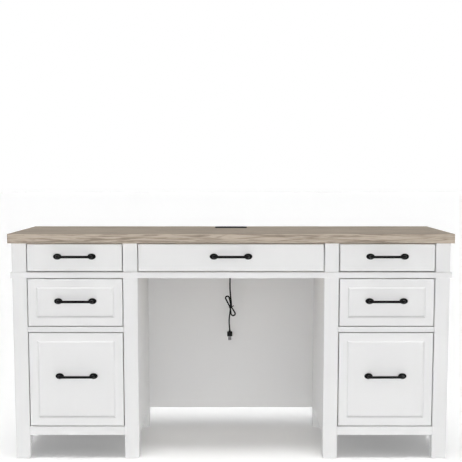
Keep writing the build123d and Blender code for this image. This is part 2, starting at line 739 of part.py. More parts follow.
with BuildPart() as connector_shell:
    with BuildSketch(Plane.XY.offset(z_body_low)):
        with Locations((lead_end.X, lead_end.Y)):
            Rectangle(SHELL_WIDTH, SHELL_THICKNESS)
    extrude(amount=-SHELL_LENGTH)
    with BuildSketch(Plane.XY.offset(z_body_low - SHELL_LENGTH)):
        with Locations((lead_end.X, lead_end.Y)):
            Rectangle(SHELL_WIDTH - 2 * SHELL_WALL, SHELL_THICKNESS - 2 * SHELL_WALL)
        with Locations((lead_end.X, lead_end.Y - SHELL_THICKNESS / 2 + SHELL_WALL + SHELL_BLADE / 2)):
            Rectangle(SHELL_WIDTH - 2 * SHELL_WALL, SHELL_BLADE, mode=Mode.SUBTRACT)
    extrude(amount=SHELL_LENGTH - 2 * SHELL_WALL, mode=Mode.SUBTRACT)
save(connector_shell.part, "connector_shell")

# ---------------------------------------------------------------- overall size, slide lengths and travels
print("desk", TOP_LENGTH, "x", TOP_DEPTH + pull_reach, "x", z_top)
for drawer in drawers:
    slide_length = drawer.box_rear - y_front_back - SLIDE_SETBACK
    share = FULL_STROKE_SHARE if drawer.full_travel else SHORT_STROKE_SHARE
    print(drawer.name, "slide", round(slide_length, 2), "travel", round(share * slide_length, 1))
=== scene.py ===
import json
from math import cos, pi, radians, sin

import bmesh
import bpy
from bpy.props import FloatProperty, FloatVectorProperty, PointerProperty
from mathutils import Matrix, Vector

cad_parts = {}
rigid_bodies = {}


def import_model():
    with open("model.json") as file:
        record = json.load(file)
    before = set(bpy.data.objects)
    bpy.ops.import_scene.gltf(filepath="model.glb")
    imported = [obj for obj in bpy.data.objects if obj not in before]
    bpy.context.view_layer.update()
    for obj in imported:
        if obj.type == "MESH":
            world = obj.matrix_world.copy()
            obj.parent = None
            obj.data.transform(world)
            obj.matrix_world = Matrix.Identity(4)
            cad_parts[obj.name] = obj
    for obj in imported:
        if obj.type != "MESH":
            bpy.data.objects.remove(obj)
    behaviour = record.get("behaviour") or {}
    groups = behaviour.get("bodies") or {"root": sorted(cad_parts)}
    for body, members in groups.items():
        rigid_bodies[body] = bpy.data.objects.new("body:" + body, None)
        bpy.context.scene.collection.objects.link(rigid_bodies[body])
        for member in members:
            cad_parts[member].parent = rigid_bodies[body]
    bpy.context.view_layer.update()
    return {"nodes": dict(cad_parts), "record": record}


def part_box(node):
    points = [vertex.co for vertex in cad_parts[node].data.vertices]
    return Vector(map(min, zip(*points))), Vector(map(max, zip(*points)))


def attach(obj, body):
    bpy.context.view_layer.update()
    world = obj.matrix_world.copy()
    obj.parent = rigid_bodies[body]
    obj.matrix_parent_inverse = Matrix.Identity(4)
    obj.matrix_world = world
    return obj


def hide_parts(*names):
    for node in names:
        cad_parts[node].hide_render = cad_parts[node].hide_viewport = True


bl_info = {
    "name": "Double Pedestal Desk",
    "version": (1, 0, 0),
    "blender": (4, 5, 0),
    "location": "View3D > Sidebar > Desk",
    "description": "Pulls, hub lead, hardware, finishes and studio for a double pedestal desk",
    "category": "Add Mesh",
}

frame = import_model()

MM = 0.001
OUT = Vector((0.0, -1.0, 0.0))
UP = Vector((0.0, 0.0, 1.0))
NO_SHIFT = Vector((0.0, 0.0, 0.0))
WELD = 1e-6

# A face looks along an axis when this much of its normal lies along it. A material's grain turns
# with the surface at the second share.
FACES_AXIS = 0.9
GRAIN_TURNS = 0.7

# The lead's route from the hub's strain relief, in millimetres: down to the hank, on from it to the
# connector, and the point where the hank crosses itself.
LEAD_ABOVE_HANK = [
    (0.0, 0.0, 0.0),
    (0.0, 0.0, -24.0),
    (-0.9, 0.8, -62.0),
    (-3.2, 1.4, -108.0),
    (-4.4, 0.9, -150.0),
    (-2.6, -0.8, -184.0),
    (0.6, -3.2, -209.0),
    (1.3, -4.5, -222.0),
]
LEAD_BELOW_HANK = [
    (-2.6, 0.0, -241.0),
    (-4.4, -0.6, -258.0),
    (-7.4, -1.0, -280.0),
    (-6.6, -0.6, -300.0),
    (-4.8, 0.0, -319.0),
]
HANK_CROSSING = (-1.0, 0.0, -232.0)

# The hank's runs between its loops, as (along the hank, across it) in metres.
HANK_ENTERS = [(0.0, 0.0026), (-0.012, 0.0056)]
HANK_BETWEEN = [(-0.012, -0.0046), (0.0, -0.0026), (0.016, -0.0044)]
HANK_LEAVES = [(0.016, 0.0046), (0.0, 0.0004)]
HANK_STEPS = 8

# The tie round the hank and its twisted ends, in metres and degrees.
TIE_HALF_ACROSS = 0.0066
TIE_ROUND = 0.00025
TIE_END_INNER = 0.0004
TIE_END_OUTER = 0.0006
TIE_END_HALF_DEPTH = 0.0006
TIE_TWISTS = 7
TIE_TWIST_SHIFT = (0.0008, 0.0, 0.0003)
TIE_TWIST_ANGLE = 35.0

# The connector's grip, its sunk panels and their ribs, in metres.
GRIP_SHOULDER = 0.0042
GRIP_ROUND = 0.0013
PANEL_MARGIN = 0.0016
PANEL_SINK = 0.0003
RIBS = 4
RIB_START = 0.0045
RIB_PITCH = 0.0026
RIB_TALL = 0.0011
RIB_HALF_WIDTH = 0.0045
RIB_HALF_DEPTH = 0.0004
RIB_ROUND = 0.0003

# The connector's ringed boot, in metres. A ring's points are (depth of groove, rise).
BOOT_LENGTH = 0.006
BOOT_RADIUS = 0.0045
BOOT_SEAT = 0.001
BOOT_COLLAR = 0.0008
BOOT_RINGS = 3
BOOT_RING_START = 0.0012
BOOT_RING_PITCH = 0.0015
BOOT_RING_RADIUS = 0.0043
BOOT_RING_TAPER = 0.0003
BOOT_RING = [(0.0007, 0.0), (0.0007, 0.0004), (0.0, 0.0006), (0.0, 0.0012)]
BOOT_TIP = 0.0033
BOOT_TIP_INNER = 0.0030
BOOT_TIP_ROUND = 0.0002

# The connector's folded shell and its windows, in metres.
SHELL_SEAT = 0.0004
SHELL_ROUND = 0.0007
WINDOW_RISE = 0.0052
WINDOW_TALL = 0.0024
WINDOW_NEAR = 0.0016
WINDOW_FAR = 0.0041

# The tongue inside the shell and its contacts, in metres.
TONGUE_SIDE_GAP = 0.0005
TONGUE_FRONT_GAP = 0.0006
TONGUE_END_GAP = 0.0010
TONGUE_PAST_MIDDLE = 0.0001
TONGUE_ROUND = 0.0002
FOUR_PLACES = (-1.5, -0.5, 0.5, 1.5)
CONTACT_PITCH = 0.0025
CONTACT_HALF_WIDTH = 0.0006
CONTACT_PROUD = 0.0003
CONTACT_START = 0.0018
CONTACT_END = 0.003
CONTACT_ROUND = 0.0001

# The hub's strain relief, in metres: its flange as (radius, drop), and its rings' points as
# (depth of groove, drop).
GLAND_FLANGE = [(0.0, 0.0), (0.0065, 0.0), (0.0065, 0.0023), (0.0060, 0.0030), (0.0049, 0.0034)]
GLAND_RINGS = 6
GLAND_RING_START = 0.0042
GLAND_RING_SPAN = 0.0052
GLAND_RING_RADIUS = 0.0049
GLAND_TAPER = 0.0012
GLAND_RING = [(0.0006, 0.0), (0.0006, 0.0008), (0.0, 0.0011), (0.0001, 0.0020)]
GLAND_TIP = 0.0034
GLAND_TIP_INNER = 0.0031
GLAND_TIP_ROUND = 0.0004

# The folded linings of the hub's ports, in metres.
PORT_PITCH = 0.021
PORT_HALF_WIDTH = 0.0061
PORT_HALF_DEPTH = 0.0024
PORT_DEEP = 0.0105
PORT_PROUD = 0.0001
PORT_ROUND = 0.0004
PORT_WALL = 0.0003

# Details of the pulls, in metres. The foot's flare is (share of its rise, share of its widening).
# The screw's socket is (radius, depth left), and its crown (radius, share of the head's height).
ROSETTE_STEPS = 6
ROSETTE_SINK = 0.0003
ROSETTE_GROOVE = 0.0004
FLARE = [(0.10, 0.96), (0.25, 0.66), (0.45, 0.36), (0.70, 0.12), (1.0, 0.0)]
SCREW_SHANK = 0.0019
SCREW_REACH = 0.012
SCREW_SOCKET = [(0.0, 0.0012), (0.0011, 0.0010), (0.0014, 0.0), (0.0026, 0.0)]
SCREW_CROWN = [(0.0035, 0.8), (0.0039, 0.5)]
SCREW_RIM = 0.2

# The floor's half width and the camera's far limit in metres, and its sensor in millimetres.
FLOOR_HALF = 60.0
FAR_CLIP = 200.0
SENSOR_WIDTH = 36.0


# ---------------------------------------------------------------- settings a user may change
def length(name, description, default):
    """A length in metres, shown with its unit."""
    return FloatProperty(name=name, description=description, default=default, min=0.0,
                         unit="LENGTH", precision=4)


def colour(name, description, default):
    """A colour without its alpha."""
    return FloatVectorProperty(name=name, description=description, default=default, size=3,
                               min=0.0, max=1.0, subtype="COLOR")


def brightness(name, description, default):
    """The strength of a light."""
    return FloatProperty(name=name, description=description, default=default, min=0.0)


class DeskPulls(bpy.types.PropertyGroup):
    """Sizes of the bar pulls."""
    rosette_length: length("Rosette length", "Width of the oval plate across the drawer", 0.029)
    rosette_height: length("Rosette height", "Height of the oval plate", 0.0205)
    rosette_thickness: length("Rosette thickness", "How far the plate stands off the drawer", 0.004)
    rosette_round: length("Rosette rounding", "Radius of the plate's rim", 0.0025)
    bar: length("Bar", "Diameter of the bar", 0.009)
    bend: length("Bend", "Radius of the bar's bends, along its centre", 0.009)
    foot: length("Foot", "Diameter of the flared foot", 0.015)
    foot_rise: length("Foot rise", "Length of the flare", 0.007)
    standoff: length("Standoff", "From the drawer's face to the bar's centre", 0.028)
    screw_head: length("Screw head", "Diameter of the screw's head inside the drawer", 0.008)
    screw_head_height: length("Screw head height", "Height of the screw's head", 0.0024)


class DeskLead(bpy.types.PropertyGroup):
    """Sizes of the hub's lead, its hank and its connector."""
    diameter: length("Diameter", "Diameter of the lead", 0.0055)
    declared: length("Length", "Length of the lead from the strain relief to the connector", 0.497)
    tilt: FloatProperty(name="Hank tilt", description="Lean of the hank away from upright",
                        default=radians(20.0), subtype="ANGLE")
    upper_reach: length("Upper reach", "From the crossing to the upper loop's centre", 0.037)
    upper_radius: length("Upper radius", "Radius of the upper loop, at the lead's centre", 0.0073)
    lower_reach: length("Lower reach", "From the crossing to the lower loop's centre", 0.026)
    lower_radius: length("Lower radius", "Radius of the lower loop, at the lead's centre", 0.0082)
    tie_width: length("Tie width", "Width of the tie along the hank", 0.0034)
    tie_gauge: length("Tie thickness", "Thickness of the tie", 0.0009)
    shell_wall: length("Shell wall", "Thickness of the connector's metal shell", 0.0004)


class DeskFinishes(bpy.types.PropertyGroup):
    """Colours of the finishes."""
    paint: colour("Paint", "White paint", (0.80, 0.80, 0.80))
    oak_light: colour("Oak, light", "Greyed oak between its grain lines", (0.485, 0.415, 0.338))
    oak_dark: colour("Oak, dark", "Grain lines of the greyed oak", (0.255, 0.208, 0.165))
    birch: colour("Birch", "Whitened birch of the drawer boxes", (0.70, 0.63, 0.54))
    # The board's dark grey is partly painted shade: it is set dark to deepen the shadow on the
    # floor under the pedestals.
    board: colour("Board", "Primed board of the pedestals' floors", (0.34, 0.34, 0.34))
    black_metal: colour("Black metal", "Coating of the pulls", (0.0025, 0.0025, 0.0028))
    zinc: colour("Zinc", "Plated slides", (0.60, 0.61, 0.63))
    plastic: colour("Black plastic", "Hub and connector mouldings", (0.008, 0.008, 0.0085))
    sheath: colour("Lead sheath", "Soft sheath of the lead", (0.004, 0.004, 0.0045))
    nylon: colour("Nylon", "Glides under the legs", (0.10, 0.10, 0.105))
    nickel: colour("Nickel", "Shells of the connector and the ports", (0.20, 0.20, 0.205))


class DeskStudio(bpy.types.PropertyGroup):
    """Camera and lights."""
    camera_distance: length("Camera distance", "From the front of the legs to the camera", 4.215)
    camera_height: length("Camera height", "Height of the camera over the floor", 0.989)
    camera_drop: FloatProperty(name="Camera drop", description="How far the camera looks down",
                               default=radians(7.99), subtype="ANGLE")
    focal_length: FloatProperty(name="Focal length", default=96.11, min=1.0,
                                description="In millimetres, for a sensor 36 mm wide")
    camera_rise: FloatProperty(name="Camera rise", default=0.2487,
                               description="Rise of the view, as a share of its width")
    surround: brightness("Surround", "Light of the white room on the desk", 0.25)
    floor_glow: brightness("Floor glow", "Light the floor gives off itself", 0.127)
    overhead: brightness("Overhead", "Broad light from straight above, on the floor only", 0.305)
    high_key: brightness("High key", "Light from high up, on all but paint and pulls", 1.615)
    front_key: brightness("Front key", "Soft light from high in front, on everything", 0.195)
    side_key: brightness("Side key", "Soft light from the front right, on the desk only", 0.09)
    bounce: brightness("Bounce", "Light that comes up off the floor, on the desk only", 1.05)


# ---------------------------------------------------------------- materials from expressions
class Link:
    """A socket of a recipe. Operators on it add Math nodes."""

    def __init__(self, recipe, socket):
        self.recipe = recipe
        self.socket = socket

    def maths(self, operation, *values):
        """The result of a Math node on these values."""
        return self.recipe.node("ShaderNodeMath", {"operation": operation}, dict(enumerate(values)))

    def __add__(self, other):
        return self.maths("ADD", self, other)

    def __sub__(self, other):
        return self.maths("SUBTRACT", self, other)

    def __rsub__(self, other):
        return self.maths("SUBTRACT", other, self)

    def __mul__(self, other):
        return self.maths("MULTIPLY", self, other)

    def over(self, limit):
        """One where the value is over the limit, and zero elsewhere."""
        return self.maths("GREATER_THAN", self, limit)

    def fraction(self):
        """What is left of the value over its whole part."""
        return self.maths("FRACT", self)

    __radd__ = __add__
    __rmul__ = __mul__


class Recipe:
    """A material's node tree, with the Principled shader's constants set from keywords."""

    def __init__(self, name, **constants):
        self.material = bpy.data.materials.new(name)
        self.material.use_nodes = True
        self.tree = self.material.node_tree
        self.shader = next(node for node in self.tree.nodes if node.type == "BSDF_PRINCIPLED")
        self.surface(**constants)

    def node(self, kind, settings=None, inputs=None, output=0):
        """A new node with its settings and inputs, as a link from one of its outputs."""
        made = self.tree.nodes.new(kind)
        for name, value in (settings or {}).items():
            if name == "stops":
                self.lay_stops(made.color_ramp, value)
            else:
                setattr(made, name, value)
        for name, value in (inputs or {}).items():
            self.feed(made.inputs[name], value)
        return Link(self, made.outputs[output])

    def feed(self, socket, value):
        """Join a link to a socket, or set a constant on it."""
        if isinstance(value, Link):
            self.tree.links.new(value.socket, socket)
        elif socket.type == "RGBA":
            socket.default_value = (*value, 1.0)
        else:
            socket.default_value = value

    def lay_stops(self, ramp, stops):
        """Set a colour ramp's stops to greys."""
        while len(ramp.elements) < len(stops):
            ramp.elements.new(0.5)
        for element, (position, tone) in zip(ramp.elements, stops):
            element.position = position
            element.color = (tone, tone, tone, 1.0)

    def surface(self, **sockets):
        """Feed sockets of the Principled shader, named with underscores for spaces."""
        for name, value in sockets.items():
            self.feed(self.shader.inputs[name.replace("_", " ")], value)

    def place(self):
        """Object coordinates."""
        return self.node("ShaderNodeTexCoord", output="Object")

    def noise(self, place, scale, detail, roughness=0.5, distortion=0.0):
        """Fractal noise at a place."""
        return self.node("ShaderNodeTexNoise", None, {
            "Vector": place, "Scale": scale, "Detail": detail, "Roughness": roughness,
            "Distortion": distortion})

    def drawn(self, place, scales, detail, roughness=0.5, distortion=0.0):
        """Noise with its own scale along each axis."""
        place = self.node("ShaderNodeVectorMath", {"operation": "MULTIPLY"}, {0: place, 1: scales})
        return self.noise(place, 1.0, detail, roughness, distortion)

    def ramp(self, value, stops):
        """A grey from a value, by (position, grey) stops."""
        return self.node("ShaderNodeValToRGB", {"stops": stops}, {"Fac": value})

    def mix(self, factor, first, second):
        """A colour between two others. Sockets 6 and 7 of the node are its colours."""
        settings = {"data_type": "RGBA", "clamp_factor": True}
        return self.node("ShaderNodeMix", settings, {0: factor, 6: first, 7: second}, 2)

    def bump(self, height, depth, strength):
        """A normal from a height, where a height of one stands for this depth in metres."""
        return self.node("ShaderNodeBump", None, {
            "Height": height, "Distance": depth, "Strength": strength})


def shaded(tone, share):
    """A colour made darker or lighter by a share."""
    return tuple(min(1.0, part * share) for part in tone)


def faces_along(recipe, direction):
    """One where the surface looks along this axis, forwards or back, and zero elsewhere."""
    facing = recipe.node("ShaderNodeVectorMath", {"operation": "ABSOLUTE"},
                         {0: recipe.node("ShaderNodeNewGeometry", output="Normal")})
    return recipe.node("ShaderNodeSeparateXYZ", None, {0: facing},
                       direction).over(GRAIN_TURNS)


def along_grain(recipe):
    """Object coordinates with the grain first: along X, but along Y on faces that look along X."""
    place = recipe.place()
    across = faces_along(recipe, "X")
    swapped = recipe.node("ShaderNodeVectorRotate", {"rotation_type": "Z_AXIS"},
                          {"Vector": place, "Angle": radians(90.0)})
    return recipe.node("ShaderNodeMix", {"data_type": "VECTOR"},
                       {0: across, 4: place, 5: swapped}, 1)


def white_paint(tones):
    """Sprayed satin paint: a fine orange peel, and a slow drift in tone and sheen."""
    recipe = Recipe("Desk white paint", Specular_IOR_Level=0.4)
    place = recipe.place()
    drift = recipe.noise(place, scale=2.4, detail=2.0)
    fine = recipe.noise(place, scale=320.0, detail=1.0)
    peel = fine + 0.6 * recipe.noise(place, scale=95.0, detail=1.0)
    recipe.surface(
        Base_Color=recipe.mix(drift, shaded(tones.paint, 0.985), shaded(tones.paint, 1.01)),
        Roughness=0.40 + 0.10 * drift + 0.05 * recipe.noise(place, scale=60.0, detail=2.0),
        Normal=recipe.bump(peel, depth=0.00006, strength=0.6),
    )
    return recipe.material


def grey_oak(tones):
    """Greyed oak: wavy growth lines, fine fibres and short dark pores along the board."""
    recipe = Recipe("Desk grey oak", Specular_IOR_Level=0.3)
    place = along_grain(recipe)
    wander = recipe.drawn(place, (4.5, 12.0, 12.0), detail=2.0)
    swell = recipe.drawn(place, (1.8, 12.0, 42.0), detail=3.0, roughness=0.55, distortion=0.9)
    lines = (8.0 * (swell + 0.35 * wander)).fraction()
    growth = recipe.ramp(lines, [(0.0, 0.0), (0.55, 0.05), (0.84, 1.0), (1.0, 0.0)])
    fibres = recipe.drawn(place, (7.0, 330.0, 330.0), detail=3.0, roughness=0.6)
    dots = recipe.drawn(place, (45.0, 900.0, 900.0), detail=1.0)
    pores = recipe.ramp(dots, [(0.60, 0.0), (0.70, 1.0)])
    patches = recipe.drawn(place, (1.6, 5.0, 5.0), detail=2.0)
    dashes = recipe.drawn(place, (7.0, 90.0, 165.0), detail=3.0, roughness=0.6, distortion=0.5)
    streaks = recipe.ramp(dashes, [(0.48, 0.0), (0.60, 1.0)])
    broad = faces_along(recipe, "Z")
    figure = (1.0 - 0.45 * broad) * (0.60 * growth + 0.85 * streaks) + 0.16 * broad
    dark = figure + 0.45 * (fibres - 0.50) + 0.30 * pores + 0.70 * (patches - 0.55)
    sunk = 0.35 * growth + 0.5 * pores + 0.3 * fibres
    recipe.surface(
        Base_Color=recipe.mix(dark, tones.oak_light, tones.oak_dark),
        Roughness=0.52 + 0.16 * fibres,
        Normal=recipe.bump(1.0 - sunk, depth=0.00025, strength=0.5),
    )
    return recipe.material


def bare_birch(tones):
    """Whitened birch, with faint growth lines and flecks."""
    recipe = Recipe("Desk birch", Specular_IOR_Level=0.4)
    place = along_grain(recipe)
    swell = recipe.drawn(place, (1.4, 22.0, 22.0), detail=3.0, distortion=0.4)
    fibres = recipe.drawn(place, (9.0, 420.0, 420.0), detail=3.0, roughness=0.6)
    dots = recipe.drawn(place, (60.0, 700.0, 700.0), detail=1.0)
    flecks = recipe.ramp(dots, [(0.58, 0.0), (0.72, 1.0)])
    dark = 0.7 * swell + 0.4 * (fibres - 0.5) + 0.25 * flecks
    recipe.surface(
        Base_Color=recipe.mix(dark, shaded(tones.birch, 1.12), shaded(tones.birch, 0.72)),
        Roughness=0.38 + 0.14 * fibres,
        Normal=recipe.bump(1.0 - 0.4 * fibres - 0.3 * flecks, depth=0.00012, strength=0.4),
    )
    return recipe.material


def grey_board(tones):
    """Primed board, with the roller's stipple showing. Its dark grey is partly painted shade, set
    dark so that the floor under the pedestals lies in deeper shadow.
    """
    recipe = Recipe("Desk grey board", Specular_IOR_Level=0.3)
    place = recipe.place()
    stipple = recipe.noise(place, scale=240.0, detail=2.0)
    drift = recipe.noise(place, scale=5.0, detail=2.0)
    recipe.surface(
        Base_Color=recipe.mix(drift, shaded(tones.board, 0.92), shaded(tones.board, 1.06)),
        Roughness=0.62 + 0.12 * stipple,
        Normal=recipe.bump(stipple, depth=0.00008, strength=0.5),
    )
    return recipe.material


def black_metal(tones):
    """Satin black powder coat with a fine texture and a slow drift in sheen."""
    recipe = Recipe("Desk black metal", Specular_IOR_Level=0.14)
    place = recipe.place()
    grit = recipe.noise(place, scale=1400.0, detail=2.0)
    rub = recipe.noise(place, scale=38.0, detail=2.0)
    recipe.surface(
        Base_Color=recipe.mix(rub, shaded(tones.black_metal, 0.8), shaded(tones.black_metal, 1.5)),
        Roughness=0.30 + 0.16 * rub,
        Normal=recipe.bump(grit, depth=0.00003, strength=0.5),
    )
    return recipe.material


def streaked_metal(name, tone, along, sheen):
    """Plated sheet steel with fine draw marks along one direction and a cloudy passivation."""
    recipe = Recipe(name)
    place = recipe.place()
    marks = recipe.drawn(place, along, detail=3.0, roughness=0.6)
    cloud = recipe.noise(place, scale=26.0, detail=3.0)
    recipe.surface(
        Base_Color=recipe.mix(cloud, shaded(tone, 0.86), shaded(tone, 1.12)),
        Metallic=0.94 + 0.06 * cloud,
        Roughness=sheen + 0.14 * marks + 0.08 * cloud,
        Normal=recipe.bump(marks, depth=0.00002, strength=0.4),
    )
    return recipe.material


def zinc_steel(tones):
    """Zinc plated slides, drawn along Y."""
    return streaked_metal("Desk zinc steel", tones.zinc, (1500.0, 12.0, 1500.0), 0.26)


def nickel_steel(tones):
    """Nickel plated shells, drawn along Z."""
    return streaked_metal("Desk nickel steel", tones.nickel, (2600.0, 2600.0, 90.0), 0.20)


def moulded(name, tone, grain_scale, sheen, shine):
    """Moulded plastic with an even spark texture and a slight drift in sheen."""
    recipe = Recipe(name, Specular_IOR_Level=shine)
    place = recipe.place()
    grain = recipe.noise(place, scale=grain_scale, detail=2.0, roughness=0.6)
    drift = recipe.noise(place, scale=21.0, detail=2.0)
    recipe.surface(
        Base_Color=recipe.mix(drift, shaded(tone, 0.85), shaded(tone, 1.25)),
        Roughness=sheen + 0.12 * drift + 0.08 * grain,
        Normal=recipe.bump(grain, depth=0.00006, strength=0.5),
    )
    return recipe.material


def black_plastic(tones):
    """Hub and connector mouldings."""
    return moulded("Desk black plastic", tones.plastic, 1500.0, 0.46, 0.12)


def lead_sheath(tones):
    """Soft sheath of the lead."""
    return moulded("Desk lead sheath", tones.sheath, 2200.0, 0.42, 0.10)


def nylon(tones):
    """Glides under the legs."""
    return moulded("Desk nylon", tones.nylon, 700.0, 0.55, 0.40)


FINISHES = {
    "white_paint": white_paint,
    "grey_oak": grey_oak,
    "bare_wood": bare_birch,
    "grey_board": grey_board,
    "black_metal": black_metal,
    "zinc_steel": zinc_steel,
    "nylon": nylon,
    "black_plastic": black_plastic,
    "lead_sheath": lead_sheath,
    "connector_steel": nickel_steel,
}
made_finishes = {}


def finish(slot_name):
    """The material of one of the record's slots, made when it is first asked for."""
    if slot_name not in made_finishes:
        made_finishes[slot_name] = FINISHES[slot_name](bpy.context.scene.desk_finishes)
    return made_finishes[slot_name]


# ---------------------------------------------------------------- modelling helpers
def corners(geometry):
    """The vertices among a list of mesh elements."""
    return [item for item in geometry if isinstance(item, bmesh.types.BMVert)]


def edges_of(verts):
    """Every edge between these vertices."""
    kept = set(verts)
    touching = {edge for vert in kept for edge in vert.link_edges}
    return [edge for edge in touching if kept.issuperset(edge.verts)]


def upright(verts):
    """The edges between these vertices that rise or fall."""
    return [edge for edge in edges_of(verts)
            if abs(edge.verts[0].co.z - edge.verts[1].co.z) > WELD]


def ends(mesh):
    """The faces that look up or down."""
    return [face for face in mesh.faces if abs(face.normal.z) > FACES_AXIS]


def everything(mesh):
    """All of a mesh's elements."""
    return mesh.verts[:] + mesh.edges[:] + mesh.faces[:]


def grow(mesh, rim, shift, scale=(1.0, 1.0, 1.0)):
    """Extrude a ring of edges, move it and scale it about its own middle. Returns the new ring."""
    made = bmesh.ops.extrude_edge_only(mesh, edges=rim)["geom"]
    verts = corners(made)
    bmesh.ops.translate(mesh, verts=verts, vec=shift)
    middle = sum((vert.co for vert in verts), Vector()) / len(verts)
    bmesh.ops.scale(mesh, verts=verts, vec=scale, space=Matrix.Translation(-middle))
    kept = set(verts)
    return [item for item in made
            if isinstance(item, bmesh.types.BMEdge) and kept.issuperset(item.verts)]


def disc(mesh, middle, radius, segments):
    """A round face that looks along Y. Returns its rim."""
    place = Matrix.Translation(middle) @ Matrix.Rotation(pi / 2, 4, "X")
    made = bmesh.ops.create_circle(mesh, cap_ends=True, radius=radius, segments=segments,
                                   matrix=place)
    return edges_of(made["verts"])


def turned(mesh, profile, origin, axis, segments):
    """Turn a profile of (radius, distance along the axis) once round the axis."""
    side = axis.orthogonal().normalized()
    verts = [mesh.verts.new(origin + axis * along + side * radius) for radius, along in profile]
    edges = [mesh.edges.new(pair) for pair in zip(verts, verts[1:])]
    bmesh.ops.spin(mesh, geom=verts + edges, cent=origin, axis=axis, dvec=NO_SHIFT, angle=2 * pi,
                   steps=segments, use_merge=True)


def brick(mesh, low, high):
    """A box between two corners. Returns its vertices."""
    size = high - low
    place = Matrix.Translation((low + high) / 2) @ Matrix.Diagonal((*size, 1.0))
    return bmesh.ops.create_cube(mesh, size=1.0, matrix=place)["verts"]


def rounded(mesh, edges, radius, segments):
    """Round these edges."""
    bmesh.ops.bevel(mesh, geom=edges, offset=radius, offset_type="OFFSET", affect="EDGES",
                    segments=segments, profile=0.5, material=-1, clamp_overlap=True)


def piece(name, mesh, body, slot_name, replaced=(), smooth_below=40.0):
    """Finish a mesh as a named piece that rides on a body and may stand for CAD nodes."""
    bmesh.ops.remove_doubles(mesh, verts=mesh.verts, dist=WELD)
    bmesh.ops.recalc_face_normals(mesh, faces=mesh.faces)
    data = bpy.data.meshes.new(name)
    mesh.to_mesh(data)
    mesh.free()
    data.shade_smooth()
    data.set_sharp_from_angle(angle=radians(smooth_below))
    made = bpy.data.objects.new(name, data)
    bpy.context.scene.collection.objects.link(made)
    data.materials.append(finish(slot_name))
    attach(made, body)
    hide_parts(*replaced)
    return made


# ---------------------------------------------------------------- lead
def hank_point(sizes, along, across, depth):
    """A point of the hank from its crossing: along its tilted line, across it and back."""
    return Vector((across * cos(sizes.tilt) - along * sin(sizes.tilt), depth,
                   across * sin(sizes.tilt) + along * cos(sizes.tilt)))


def hank_line(sizes):
    """The lead through the hank: round the lower loop, round the upper loop, and out below."""
    layer = sizes.diameter
    shares = [step / HANK_STEPS for step in range(HANK_STEPS + 1)]
    line = [hank_point(sizes, *place, -layer) for place in HANK_ENTERS]
    line += [hank_point(sizes, -sizes.lower_reach - sizes.lower_radius * sin(pi * share),
                        sizes.lower_radius * cos(pi * share), layer * (2 * share - 1))
             for share in shares]
    line += [hank_point(sizes, *place, layer) for place in HANK_BETWEEN]
    line += [hank_point(sizes, sizes.upper_reach + sizes.upper_radius * sin(pi * share),
                        -sizes.upper_radius * cos(pi * share), layer * (1 - share))
             for share in shares]
    line += [hank_point(sizes, *place, 0.0) for place in HANK_LEAVES]
    return line


